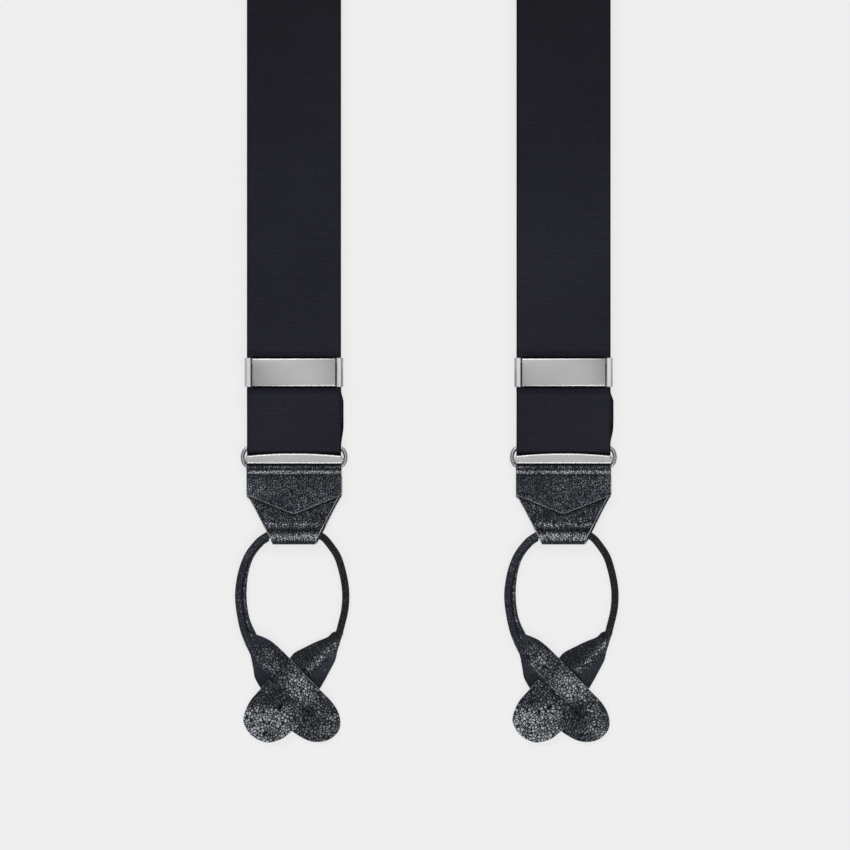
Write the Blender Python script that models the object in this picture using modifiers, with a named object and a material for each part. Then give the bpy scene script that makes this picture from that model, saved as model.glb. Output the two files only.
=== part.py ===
"""Button-on dress suspenders, laid out flat: two webbing straps, a leather yoke, one elastic back strap.

Metres, +Z up. The front button tabs point to -Y and the back ones to +Y; the table is z = 0.
"""

import math

import bmesh
import bpy
from mathutils import Vector

MM = 0.001

# webbing
WEB_WIDTH = 36.0
WEB_THICK = 1.2
STRAP_SPACING = 103.0
RING_TO_YOKE = 650.0
STRAP_IN_YOKE = 22.0
STRAPS_APART = 3.6
YOKE_ANGLE = 10.3
BACK_FREE = 105.0

# leather
LEATHER = 1.1
COVER_SHOULDER = 14.2
COVER_POINT = 21.6
COVER_BACK = 16.0
TAB_THICK = 1.6
TAB_END_HALF = 9.0
YOKE_LENGTH = 72.0
YOKE_MARGIN = 3.5
YOKE_NOTCH = 11.0

# ring
WIRE_R = 0.8
RING_HALF_HEIGHT = 3.4
RING_END = 2.1
FACE_THICK = 0.8
FACE_LOW = 2.5
FACE_HIGH = 0.6
FACE_ARCH = 0.95

# adjuster
ADJ_BOTTOM = 26.9
ADJ_HEIGHT = 11.0
ADJ_TRAVEL = 150.0
FRAME_PLATE = 0.8
FRAME_WALL = 0.5
EAR_WIDTH = 2.7
EAR_HEIGHT = 2.4
LEVER_THICK = 0.8
PIN_R = 0.4
TEETH = 14

# button loop
CORD_R = 1.7
CHANNEL_WALL = 0.7
LOOP_R = 20.6
LOOP_TOP = 30.6
NECK_WIDTH = 10.5
FLAT_THICK = 1.6
LOBE_R = 9.4
LOBE_X = 9.3
LOBE_DROP = 100.0
SLIT_WIDTH = 1.0
SLIT_LENGTH = 12.5
SLIT_ABOVE = 8.5

# play between pieces
GAP = 0.3

# heights that the stack of layers gives
halfWeb = WEB_WIDTH / 2
railZ = WEB_THICK + GAP + WIRE_R
foldR = WIRE_R + GAP + WEB_THICK / 2
runZ = railZ + foldR
plateZ = WEB_THICK + GAP + FRAME_PLATE / 2
wrapR = plateZ - WEB_THICK / 2
tailZ = plateZ + wrapR
overZ = tailZ + WEB_THICK + GAP
tailLowZ = WEB_THICK * 1.5 + GAP
earZ = overZ + WEB_THICK / 2 + GAP
leverTop = earZ + EAR_HEIGHT + GAP
pinZ = leverTop - LEVER_THICK - PIN_R - 0.2
pinY = ADJ_BOTTOM + ADJ_HEIGHT - 0.1 - LEVER_THICK - PIN_R - 0.2
faceZ = runZ + WEB_THICK / 2 + GAP
coverR = WIRE_R + GAP + LEATHER / 2
coverHalf = halfWeb + 0.2
ringStraight = coverHalf - 0.6
frameHalf = halfWeb + GAP + FRAME_WALL
earInner = frameHalf - EAR_WIDTH
channelR = CORD_R + GAP + CHANNEL_WALL
channelZ = channelR + 0.1
cordZ = CORD_R + 0.1
loopY = -LOOP_TOP - LOOP_R
lowFlatZ = FLAT_THICK / 2 + 0.1
highFlatZ = lowFlatZ + FLAT_THICK + GAP

# plan of the whole layout
yokeTurn = math.radians(YOKE_ANGLE)
strapEnd = RING_TO_YOKE + STRAP_IN_YOKE
strapShift = STRAP_SPACING / 2 - halfWeb * math.cos(yokeTurn) - STRAPS_APART / 2
bendR = strapShift / (1 - math.cos(yokeTurn))
bendFrom = strapEnd - bendR * yokeTurn
yokeFar = bendFrom + bendR * math.sin((RING_TO_YOKE - bendFrom) / bendR)
backRing = yokeFar + YOKE_LENGTH + BACK_FREE
endLength = LOBE_DROP + LOBE_R
frontRingY = -backRing / 2
finishes = {
    "webbing": ((0.016, 0.018, 0.027, 1.0), 0.85, 0.0),
    "leather": ((0.018, 0.023, 0.033, 1.0), 0.45, 0.0),
    "nickel": ((0.62, 0.61, 0.62, 1.0), 0.32, 1.0),
}


def clearScene():
    for obj in list(bpy.data.objects):
        bpy.data.objects.remove(obj, do_unlink=True)


def give(obj, finish):
    colour, rough, metal = finishes[finish]
    mat = bpy.data.materials.new(obj.name)
    mat.use_nodes = True
    shader = mat.node_tree.nodes["Principled BSDF"]
    shader.inputs["Base Color"].default_value = colour
    shader.inputs["Roughness"].default_value = rough
    shader.inputs["Metallic"].default_value = metal
    obj.data.materials.clear()
    obj.data.materials.append(mat)
    return obj


def link(name, data):
    obj = bpy.data.objects.new(name, data)
    bpy.context.scene.collection.objects.link(obj)
    return obj


def toMesh(obj):
    """The evaluated mesh of obj takes its place."""
    bpy.context.view_layer.update()
    seen = obj.evaluated_get(bpy.context.evaluated_depsgraph_get())
    mesh = bpy.data.meshes.new_from_object(seen)
    bm = bmesh.new()
    bm.from_mesh(mesh)
    bmesh.ops.remove_doubles(bm, verts=bm.verts, dist=0.00001)
    bmesh.ops.recalc_face_normals(bm, faces=bm.faces)
    bm.to_mesh(mesh)
    bm.free()
    name = obj.name
    place = obj.matrix_world.copy()
    data = obj.data
    bpy.data.objects.remove(obj, do_unlink=True)
    if isinstance(data, bpy.types.Curve):
        bpy.data.curves.remove(data)
    else:
        bpy.data.meshes.remove(data)
    made = link(name, mesh)
    made.matrix_world = place
    return made


def spline(data, points, closed):
    line = data.splines.new("POLY")
    line.points.add(len(points) - 1)
    for p, co in zip(line.points, points):
        full = tuple(co) + (0.0,) * (3 - len(co))
        p.co = (full[0] * MM, full[1] * MM, full[2] * MM, 1.0)
    line.use_cyclic_u = closed


def slab(name, outlines, thick):
    """A flat outline, with any holes in it, as thick as given and centred on its own plane."""
    data = bpy.data.curves.new(name, "CURVE")
    data.dimensions = "2D"
    data.fill_mode = "BOTH"
    data.extrude = thick / 2 * MM
    for points in outlines:
        spline(data, points, True)
    return toMesh(link(name, data))


def bar(name, outline, width):
    """An outline in the Y-Z plane, drawn out along X."""
    obj = slab(name, [outline], width)
    obj.rotation_euler = (math.pi / 2, 0, math.pi / 2)
    return settle(obj)


def wire(name, points, radius, closed=False, sides=2):
    data = bpy.data.curves.new(name, "CURVE")
    data.dimensions = "3D"
    data.bevel_depth = radius * MM
    data.bevel_resolution = sides
    data.use_fill_caps = not closed
    spline(data, points, closed)
    return toMesh(link(name, data))


def settle(obj):
    """Rotation and scale go into the mesh."""
    bpy.context.view_layer.update()
    obj.data.transform(obj.matrix_world)
    obj.matrix_world.identity()
    obj.location = (0, 0, 0)
    obj.rotation_euler = (0, 0, 0)
    obj.scale = (1, 1, 1)
    return obj


def ribbon(name, path, width, thick):
    """A strip of webbing or leather that follows a path of (y, z) points, the same width all along."""
    data = bpy.data.curves.new(name, "CURVE")
    data.dimensions = "2D"
    data.fill_mode = "NONE"
    data.extrude = width / 2 * MM
    spline(data, path, False)
    obj = toMesh(link(name, data))
    obj.rotation_euler = (math.pi / 2, 0, math.pi / 2)
    settle(obj)
    body = obj.modifiers.new("thickness", "SOLIDIFY")
    body.thickness = thick * MM
    body.offset = 0
    body.use_even_offset = True
    return toMesh(obj)


def combine(obj, other, how):
    step = obj.modifiers.new(how.lower(), "BOOLEAN")
    step.operation = how
    step.solver = "EXACT"
    step.object = other
    made = toMesh(obj)
    bpy.data.objects.remove(other, do_unlink=True)
    return made


def box(name, low, high):
    bpy.ops.mesh.primitive_cube_add(size=1)
    obj = bpy.context.object
    obj.name = name
    obj.scale = [(b - a) * MM for a, b in zip(low, high)]
    obj.location = [(a + b) / 2 * MM for a, b in zip(low, high)]
    return settle(obj)


def rod(name, radius, length, y, z, sides=12):
    """A round rod along X."""
    bpy.ops.mesh.primitive_cylinder_add(vertices=sides, radius=radius * MM, depth=length * MM)
    obj = bpy.context.object
    obj.name = name
    obj.rotation_euler = (0, math.pi / 2, 0)
    obj.location = (0, y * MM, z * MM)
    return settle(obj)


def arc(cx, cy, radius, start, end, steps):
    turns = [math.radians(start + (end - start) * i / steps) for i in range(steps + 1)]
    return [(cx + radius * math.cos(t), cy + radius * math.sin(t)) for t in turns]


def rounded(points, radius, steps=3):
    """The outline with each corner turned by a small arc."""
    made = []
    for i, here in enumerate(points):
        p = Vector(here)
        back = (Vector(points[i - 1]) - p)
        on = (Vector(points[(i + 1) % len(points)]) - p)
        reach = min(radius, back.length * 0.45, on.length * 0.45)
        a = p + back.normalized() * reach
        b = p + on.normalized() * reach
        for k in range(steps + 1):
            t = k / steps
            made.append(tuple(a * (1 - t) ** 2 + p * 2 * t * (1 - t) + b * t ** 2))
    return made


def ease(a, b, steps, y0, y1):
    """Points of a smooth rise from height a at y0 to height b at y1."""
    made = []
    for i in range(steps + 1):
        t = i / steps
        made.append((y0 + (y1 - y0) * t, a + (b - a) * t * t * (3 - 2 * t)))
    return made


def finish(obj, finishName, end, pivot=(0, 0, 0), smooth=False):
    """obj takes its finish and its place: its origin on its joint's axis, its parent the end that it belongs to."""
    spot = Vector(pivot) * MM
    obj.data.transform(obj.matrix_world)
    obj.matrix_world.identity()
    for v in obj.data.vertices:
        v.co -= spot
    for face in obj.data.polygons:
        face.use_smooth = smooth
    obj.parent = end
    obj.location = spot
    return give(obj, finishName)


def makeEnd(name, x, y, turn):
    """An empty at the middle of a ring; its -Y side is the leather's."""
    end = link(name, None)
    end.location = (x * MM, y * MM, 0)
    end.rotation_euler = (0, 0, turn)
    return end


def makeRing(end, prefix):
    top = [(x, y) for x, y in arc(0, 0, 1, 90, -90, 10)]
    right = [(ringStraight + RING_END * x, RING_HALF_HEIGHT * y) for x, y in top]
    left = [(-x, -y) for x, y in right]
    loop = [(x, y, railZ) for x, y in right + left]
    ring = wire(prefix + "_ring", loop, WIRE_R, closed=True, sides=1)
    finish(ring, "nickel", end, (0, RING_HALF_HEIGHT, railZ), True)

    endX = ringStraight + RING_END - 0.3
    edge = coverHalf
    low = [(-edge, -FACE_LOW), (edge, -FACE_LOW), (edge, -1.9), (endX, -1.6), (endX, -0.2), (edge, 0.1)]
    arch = []
    for i in range(11):
        x = edge * (1 - i / 5)
        arch.append((x, FACE_HIGH + FACE_ARCH * (1 - (x / edge) ** 2)))
    high = [(-edge, 0.1), (-endX, -0.2), (-endX, -1.6), (-edge, -1.9)]
    face = slab(prefix + "_ring_face", [low + arch + high], FACE_THICK)
    face.location = (0, 0, (faceZ + FACE_THICK / 2) * MM)
    settle(face)
    for side in (-1, 1):
        xs = sorted((side * (endX - 0.8), side * (endX - 0.1)))
        leg = box("leg", (xs[0], -1.5, railZ + WIRE_R + GAP), (xs[1], -0.3, faceZ + FACE_THICK * 0.6))
        face = combine(face, leg, "UNION")
    finish(face, "nickel", end, (0, RING_HALF_HEIGHT, railZ))


def makeCover(end, prefix):
    """The pointed leather flap, folded over the ring's lower rail."""
    axis = -RING_HALF_HEIGHT
    turn = [(axis + coverR * x, railZ + coverR * y) for x, y in arc(0, 0, 1, 90, -90, 8)]
    path = [(-COVER_POINT, railZ + coverR)] + turn + [(-COVER_BACK, railZ - coverR)]
    flap = ribbon(prefix + "_leather_cover", path, coverHalf * 2, LEATHER)
    wide = coverHalf + 2
    low = -COVER_POINT - 4
    shoulder = -COVER_SHOULDER + (COVER_POINT - COVER_SHOULDER) * 2 / coverHalf
    cut = slab("cut", [[(-wide, shoulder), (0, -COVER_POINT), (wide, shoulder), (wide, low), (-wide, low)]], 6)
    cut.location = (0, 0, (railZ + 3.2) * MM)
    settle(cut)
    flap = combine(flap, cut, "DIFFERENCE")
    finish(flap, "leather", end, (0, axis, railZ))


def makeTab(end, prefix):
    """The tapering leather between the flaps, with the channel that the button loop runs in."""
    top = -RING_HALF_HEIGHT - WIRE_R - GAP
    half = [
        (coverHalf, top),
        (coverHalf, -COVER_SHOULDER),
        (coverHalf * 0.80, -20.3),
        (coverHalf * 0.68, -24.1),
        (coverHalf * 0.585, -28.0),
        (TAB_END_HALF, -LOOP_TOP - 1.0),
    ]
    outline = half + [(-x, y) for x, y in reversed(half)]
    tab = slab(prefix + "_leather_tab", [outline], TAB_THICK)
    tab.location = (0, 0, railZ * MM)
    settle(tab)
    reach = math.degrees(math.asin(TAB_END_HALF / LOOP_R))
    line = arc(0, loopY, LOOP_R, 90 - reach, 90 + reach, 8)
    around = wire("around", [(x, y, channelZ) for x, y in line], channelR, sides=2)
    tab = combine(tab, around, "UNION")
    line = arc(0, loopY, LOOP_R, 90 - reach - 8, 90 + reach + 8, 10)
    hollow = wire("hollow", [(x, y, channelZ) for x, y in line], CORD_R + GAP, sides=2)
    tab = combine(tab, hollow, "DIFFERENCE")
    finish(tab, "leather", end, (0, -RING_HALF_HEIGHT, railZ), True)


def flatTab(name, side, z):
    """One flat button tab, from the rolled cord across the middle to its round lobe, with the buttonhole slit."""
    start = Vector((-side * LOOP_R * 0.748, loopY - LOOP_R * 0.888))
    lobe = Vector((side * LOBE_X, -LOBE_DROP))
    along = (lobe - start).normalized()
    across = Vector((-along.y, along.x))
    half = NECK_WIDTH / 2
    fillet = LOBE_R * 0.8
    meet = math.sqrt((LOBE_R + fillet) ** 2 - (half + fillet) ** 2)
    bend = math.atan2(meet, half + fillet)
    edges = []
    for way in (1, -1):
        edge = [
            start + across * way * CORD_R * 0.9,
            start + along * 4.5 + across * way * half * 0.8,
            start + along * 8.0 + across * way * half,
        ]
        centre = lobe - along * meet + across * way * (half + fillet)
        for i in range(4):
            t = bend * i / 4
            edge.append(centre + (along * math.sin(t) - across * way * math.cos(t)) * fillet)
        edges.append(edge)
    sweep = math.pi / 2 + bend
    turns = [sweep * (1 - i / 8) for i in range(17)]
    lobeArc = [lobe + (along * math.cos(t) + across * math.sin(t)) * LOBE_R for t in turns]
    outline = edges[0] + lobeArc + list(reversed(edges[1]))
    slitTop = lobe - along * SLIT_ABOVE
    slitEnd = slitTop + along * SLIT_LENGTH
    wide = across * SLIT_WIDTH / 2
    slit = [slitTop + wide, slitEnd + wide, slitEnd - wide, slitTop - wide]
    obj = slab(name, [[tuple(p) for p in outline], [tuple(p) for p in slit]], FLAT_THICK)
    obj.location = (0, 0, z * MM)
    return settle(obj)


def makeLoop(end, name):
    """The rolled leather loop and its two flat tabs, one strip of leather."""
    points = []
    for x, y in arc(0, loopY, LOOP_R, -12, 192, 30):
        lean = abs(math.degrees(math.atan2(x, y - loopY)))
        t = min(1, max(0, (lean - 40) / 35))
        points.append((x, y, channelZ + (cordZ - channelZ) * t * t * (3 - 2 * t)))
    shares = ((0.937, 0.437), (0.874, 0.631), (0.728, 0.913), (0.694, 0.951))
    side = [(LOOP_R * a, loopY - LOOP_R * b) for a, b in shares]
    right = [(x, y, cordZ) for x, y in reversed(side)]
    left = [(-x, y, cordZ) for x, y in side]
    loop = wire(name, right + points + left, CORD_R, sides=1)
    loop = combine(loop, flatTab("low", -1, lowFlatZ), "UNION")
    loop = combine(loop, flatTab("high", 1, highFlatZ), "UNION")
    finish(loop, "leather", end, (0, loopY, channelZ))


def makeFold(name, end, tail):
    """The webbing's turn round the ring's upper rail, and the run behind that it goes on in."""
    axis = RING_HALF_HEIGHT
    turn = [(axis + foldR * x, railZ + foldR * y) for x, y in arc(0, 0, 1, 97, 270, 10)]
    fold = ribbon(name, turn + tail, WEB_WIDTH, WEB_THICK)
    finish(fold, "webbing", end)


def makeAdjuster(end, prefix):
    low = ADJ_BOTTOM
    high = ADJ_BOTTOM + ADJ_HEIGHT
    floor = plateZ - FRAME_PLATE / 2
    top = earZ + EAR_HEIGHT
    inner = frameHalf - FRAME_WALL
    half = [
        (inner, floor + FRAME_PLATE),
        (inner, earZ),
        (earInner, earZ),
        (earInner, top - 0.5),
        (earInner + 0.5, top),
        (frameHalf - 0.8, top),
        (frameHalf, top - 0.8),
        (frameHalf, floor),
    ]
    outline = half + [(-x, z) for x, z in reversed(half)]
    frame = slab(prefix + "_adjuster_frame", [outline], ADJ_HEIGHT)
    frame.rotation_euler = (math.pi / 2, 0, 0)
    frame.location = (0, (low + high) / 2 * MM, 0)
    settle(frame)
    plateTop = pinY - 1.0
    window = box("window", (-inner, plateTop, floor - 1), (inner, high + 1, overZ - WEB_THICK / 2 - 0.1))
    frame = combine(frame, window, "DIFFERENCE")
    frame = combine(frame, rod("bore", PIN_R + 0.2, frameHalf * 2 + 2, pinY, pinZ, 10), "DIFFERENCE")
    finish(frame, "nickel", end)

    a = low + 0.1
    b = high - 0.1
    t = LEVER_THICK
    r = 0.7
    skin = [(b, pinZ - 0.3), (b, leverTop - r), (b - 0.2, leverTop - 0.2), (b - r, leverTop)]
    skin += [(a + r, leverTop), (a + 0.2, leverTop - 0.2), (a, leverTop - r), (a, earZ + 0.3)]
    skin += [(a + t, earZ + 0.3), (a + t, leverTop - t), (b - t, leverTop - t), (b - t, pinZ - 0.3)]
    lever = bar(prefix + "_adjuster_lever", skin, (earInner - GAP) * 2)
    comb = []
    span = (earInner - GAP - 0.6) * 2
    for i in range(TEETH):
        x = -span / 2 + span * i / TEETH
        comb += [(x, earZ + 0.5), (x + span / TEETH / 2, earZ + 0.05)]
    comb += [(span / 2, earZ + 0.5), (span / 2, earZ + 1.0), (-span / 2, earZ + 1.0)]
    teeth = slab("teeth", [comb], t * 0.6)
    teeth.rotation_euler = (math.pi / 2, 0, 0)
    teeth.location = (0, (a + t / 2) * MM, 0)
    lever = combine(lever, settle(teeth), "UNION")
    finish(lever, "nickel", end, (0, pinY, pinZ))

    pin = rod(prefix + "_adjuster_pin", PIN_R, frameHalf * 2 - 0.2, pinY, pinZ)
    finish(pin, "nickel", end, (0, pinY, pinZ), True)
    return plateTop


def alongStrap(s, w):
    """The plan point w to the right of a strap's middle line, s along it from its ring; x grows towards the yoke."""
    if s <= bendFrom:
        return w, s
    turn = (s - bendFrom) / bendR
    x = bendR * (1 - math.cos(turn)) + w * math.cos(turn)
    return x, bendFrom + bendR * math.sin(turn) - w * math.sin(turn)


def makeFrontStrap(end, prefix, side):
    rise = ADJ_BOTTOM - 5.5
    past = ADJ_BOTTOM + ADJ_HEIGHT + ADJ_TRAVEL
    bed = WEB_THICK / 2
    path = [(RING_HALF_HEIGHT, runZ), (10, runZ)]
    path += ease(runZ, overZ, 4, rise - 6, rise)
    path += ease(overZ, bed, 7, past + 8, past + 44)
    first = past + 60
    last = RING_TO_YOKE - 14
    path += [(first + (last - first) * i / 18, bed) for i in range(19)]
    path += ease(bed, tailLowZ, 3, RING_TO_YOKE - 10, RING_TO_YOKE - 2)
    path += [(strapEnd, tailLowZ)]
    strap = ribbon(prefix + "_strap", path, WEB_WIDTH, WEB_THICK)
    for v in strap.data.vertices:
        x, y = alongStrap(v.co.y / MM, v.co.x / MM * -side)
        v.co.x = x * -side * MM
        v.co.y = y * MM
    bm = bmesh.new()
    bm.from_mesh(strap.data)
    bmesh.ops.recalc_face_normals(bm, faces=bm.faces)
    bm.to_mesh(strap.data)
    bm.free()
    finish(strap, "webbing", end)


def makeFrontEnd(prefix, side):
    end = makeEnd(prefix + "_end", side * STRAP_SPACING / 2, frontRingY, 0)
    makeRing(end, prefix)
    makeCover(end, prefix)
    makeTab(end, prefix)
    makeLoop(end, prefix + "_button_loop")
    plateTop = makeAdjuster(end, prefix)
    under = [(plateTop - 3, WEB_THICK / 2)]
    wrap = [(plateTop + wrapR * x, plateZ + wrapR * y) for x, y in arc(0, 0, 1, -90, 90, 8)]
    down = ease(tailZ, tailLowZ, 4, ADJ_BOTTOM - 0.4, ADJ_BOTTOM - 6)
    makeFold(prefix + "_strap_return", end, under + wrap + down + [(13, tailLowZ)])
    makeFrontStrap(end, prefix, side)


def makeBackEnd():
    end = makeEnd("back_end", 0, frontRingY + backRing, math.pi)
    makeRing(end, "back")
    makeCover(end, "back")
    makeTab(end, "back")
    makeLoop(end, "back_button_loop")
    makeFold("back_strap_return", end, [(30, WEB_THICK / 2)])
    bed = WEB_THICK / 2
    reach = backRing - yokeFar
    path = [(RING_HALF_HEIGHT, runZ), (8, runZ)]
    path += ease(runZ, tailLowZ, 4, 10, 18)
    path += ease(tailLowZ, bed, 3, 32, 40)
    path += [(60, bed), (BACK_FREE - 12, bed)]
    path += ease(bed, tailLowZ, 3, BACK_FREE - 9, BACK_FREE - 2)
    path += [(reach - STRAP_IN_YOKE - 8, tailLowZ)]
    strap = ribbon("back_strap", path, WEB_WIDTH, WEB_THICK)
    finish(strap, "webbing", end)


def makeYoke():
    """Two leaves of leather that hold the ends of the three straps between them."""
    centre = STRAP_SPACING / 2
    wide = halfWeb + YOKE_MARGIN
    corner = []
    for s, w in ((0, -halfWeb - STRAPS_APART / 2 + 2.5), (0, wide), (YOKE_LENGTH * 0.36, wide)):
        x, y = alongStrap(RING_TO_YOKE + s, -w)
        corner.append((centre - x, y - yokeFar))
    top = YOKE_LENGTH
    narrow = halfWeb + YOKE_MARGIN
    low, mid, side = corner
    sides = [low, mid, side, (narrow + 1.5, top * 0.74), (narrow, top * 0.88), (narrow, top)]
    outline = [(0, YOKE_NOTCH)] + sides + [(-x, y) for x, y in reversed(sides)]
    for name, z in (("yoke_back_leaf", WEB_THICK / 2), ("yoke_front_leaf", tailLowZ + WEB_THICK + GAP)):
        leaf = slab(name, [rounded(outline, 7)], WEB_THICK)
        leaf.location = (0, (yokeFar + frontRingY) * MM, z * MM)
        settle(leaf)
        finish(leaf, "leather", None)


clearScene()
makeFrontEnd("left", -1)
makeFrontEnd("right", 1)
makeBackEnd()
makeYoke()
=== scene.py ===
# Dress suspenders laid flat on a pale table, seen from straight above.
import math

import bmesh
import bpy
import numpy as np
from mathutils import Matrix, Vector, geometry


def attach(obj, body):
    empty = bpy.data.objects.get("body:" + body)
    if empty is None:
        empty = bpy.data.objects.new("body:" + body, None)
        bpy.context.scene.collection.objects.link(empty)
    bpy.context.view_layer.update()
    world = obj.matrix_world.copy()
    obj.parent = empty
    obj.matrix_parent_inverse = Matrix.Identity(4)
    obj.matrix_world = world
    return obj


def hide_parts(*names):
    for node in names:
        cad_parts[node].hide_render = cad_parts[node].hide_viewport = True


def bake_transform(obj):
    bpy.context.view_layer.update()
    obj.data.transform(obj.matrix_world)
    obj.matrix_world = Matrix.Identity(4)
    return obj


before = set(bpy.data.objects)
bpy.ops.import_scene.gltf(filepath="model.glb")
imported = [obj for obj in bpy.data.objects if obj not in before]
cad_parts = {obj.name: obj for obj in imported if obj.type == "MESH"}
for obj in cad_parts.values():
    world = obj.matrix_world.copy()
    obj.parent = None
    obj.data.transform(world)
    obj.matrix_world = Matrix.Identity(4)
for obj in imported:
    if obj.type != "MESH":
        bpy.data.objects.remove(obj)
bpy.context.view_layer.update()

mm = 0.001

ringX, ringY = 51.5, 412.707  # how far a front ring is from the middle line, and each ring from the centre

# where each end lies: the middle of its ring, and which way it points
ends = {
    "left": {"x": -ringX, "y": -ringY, "turn": 1},
    "right": {"x": ringX, "y": -ringY, "turn": 1},
    "back": {"x": 0.0, "y": ringY, "turn": -1},
}

# heights above the table of the middles of the layers
stack = {"bed": 0.6, "rail": 2.3, "run": 4.0, "over": 4.7, "plate": 1.9, "tail": 3.2, "low": 2.1}


def atEnd(end, points):
    e = ends[end]
    p = np.array(points, float).reshape(-1, 3)
    t = e["turn"]
    return np.column_stack([e["x"] + t * p[:, 0], e["y"] + t * p[:, 1], p[:, 2]]) * mm


# a shader socket that works in sums
class Wire:
    def __init__(self, kit, socket):
        self.kit = kit
        self.socket = socket

    def math(self, kind, *others):
        return self.kit.node("ShaderNodeMath", {"operation": kind}, [self, *others])

    def __add__(self, other):
        return self.math("ADD", other)

    def __radd__(self, other):
        return self.math("ADD", other)

    def __sub__(self, other):
        return self.math("SUBTRACT", other)

    def __rsub__(self, other):
        return self.kit.node("ShaderNodeMath", {"operation": "SUBTRACT"}, [other, self])

    def __mul__(self, other):
        return self.math("MULTIPLY", other)

    def __rmul__(self, other):
        return self.math("MULTIPLY", other)


class Finish:
    def __init__(self, name):
        self.mat = bpy.data.materials.new(name)
        self.mat.use_nodes = True
        self.nodes = self.mat.node_tree.nodes
        self.links = self.mat.node_tree.links
        self.shader = self.nodes["Principled BSDF"]

    def node(self, kind, settings=None, values=(), out=0):
        n = self.nodes.new(kind)
        for key, value in (settings or {}).items():
            setattr(n, key, value)
        pairs = values.items() if isinstance(values, dict) else enumerate(values)
        for key, value in pairs:
            self.put(n.inputs[key], value)
        return Wire(self, n.outputs[out])

    def put(self, socket, value):
        if isinstance(value, Wire):
            self.links.new(value.socket, socket)
        elif value is not None:
            socket.default_value = value

    def set(self, **values):
        for key, value in values.items():
            self.put(self.shader.inputs[key.replace("_", " ")], value)
        return self.mat

    def place(self):
        return self.node("ShaderNodeTexCoord", out=3)

    def strip(self):
        return self.node("ShaderNodeUVMap", {"uv_map": "strip"})

    def part(self, vector, axis):
        return self.node("ShaderNodeSeparateXYZ", None, [vector], out=axis)

    def noise(self, vector, scale, detail, out=0):
        values = {"Vector": vector, "Scale": scale, "Detail": detail}
        return self.node("ShaderNodeTexNoise", None, values, out)

    def cells(self, vector, scale, feature, out=0):
        values = {"Vector": vector, "Scale": scale}
        return self.node("ShaderNodeTexVoronoi", {"feature": feature}, values, out)

    def stretched(self, scale):
        return self.node("ShaderNodeMapping", None, {"Vector": self.place(), "Scale": scale})

    def mix(self, share, a, b):
        def full(c):
            return c if isinstance(c, Wire) else (*c, 1.0)
        n = self.nodes.new("ShaderNodeMix")
        n.data_type = "RGBA"
        self.put(n.inputs[0], share)
        self.put(n.inputs[6], full(a))
        self.put(n.inputs[7], full(b))
        return Wire(self, n.outputs[2])

    def between(self, value, low, high, a=0.0, b=1.0):
        return self.node("ShaderNodeMapRange", {"clamp": True}, [value, low, high, a, b])

    def painted(self, name):
        # a value for each vertex, laid on by paint()
        return self.node("ShaderNodeAttribute", {"attribute_type": "GEOMETRY", "attribute_name": name}, out=2)

    def bump(self, height, strength, depth):
        return self.node("ShaderNodeBump", None, {"Height": height, "Strength": strength, "Distance": depth})


webbing = {
    "rib": 0.8,
    "warp": 0.42,
    "dark": (0.0018, 0.0018, 0.0036),
    "light": (0.0265, 0.0265, 0.042),
    "shadow": (0.0022, 0.0022, 0.0034),
    "selvedge": 17.55,
    # the stretches of painted shade: up the strap, and in the fold at the ring
    "dull": (0.09, 0.18),
    "fold": (0.0062, 0.0074),
}


def webbingFinish(name, lift=1.0):
    f = Finish(name)
    uv = f.strip()
    across = f.part(uv, 0)
    along = f.part(uv, 1)
    wobble = f.noise(f.place(), 160.0, 2.0)
    perRib = math.pi / (webbing["rib"] * mm)
    perWarp = math.pi / (webbing["warp"] * mm)
    crest = ((along + wobble * 0.00018) * (2 * perRib)).math("SINE") * 0.5 + 0.5
    turn = (across * (2 * perWarp)).math("SINE") * 0.5 + 0.5
    step = (across * perWarp + along * perRib).math("SINE")
    yarn = f.noise(f.stretched((1.0, 0.3, 1.0)), 2600.0, 2.0)
    patch = f.noise(f.place(), 22.0, 3.0)
    rim = webbing["selvedge"]
    edge = f.between(across.math("ABSOLUTE"), (rim - 0.25) * mm, (rim + 0.25) * mm)
    # painted light: the rib crests lighter and the selvedges darker, as the light falls on the weave; the
    # yarn and patch noise are the webbing's own tone
    bright = crest * 0.42 + turn * 0.10 + yarn * 0.50 + patch * 0.35 + step * 0.05 - 0.15
    bright = bright * (1 - edge * 0.95) * lift
    colour = f.mix(bright, webbing["dark"], webbing["light"])
    # painted shade: darker in the fold at the ring, and darker up the strap, copying how the light falls off
    # along it
    paintedShade = (1 - f.between(along, *webbing["dull"]) * 0.45) * f.between(along, *webbing["fold"], 0.06, 1.0)
    colour = f.mix(paintedShade, webbing["shadow"], colour)
    relief = crest * (turn * 0.35 + 0.65) + yarn * 0.35 - edge * 0.4
    return f.set(
        Base_Color=colour,
        Roughness=f.between(crest + yarn, 0.2, 1.6, 0.82, 0.62),
        Normal=f.bump(relief, 0.35, 0.00012),
        Specular_IOR_Level=0.1,
        Sheen_Weight=0.03,
        Sheen_Roughness=0.5,
    )


leather = {
    "pebble": 0.00098,
    # the crease colour is painted shade between the pebbles; the last colour is a painted highlight on the
    # pebble tops
    "crease": (0.0006, 0.0009, 0.0018),
    "top": (0.022, 0.028, 0.042),
    "paintedHighlight": (0.455, 0.48, 0.515),
}


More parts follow.
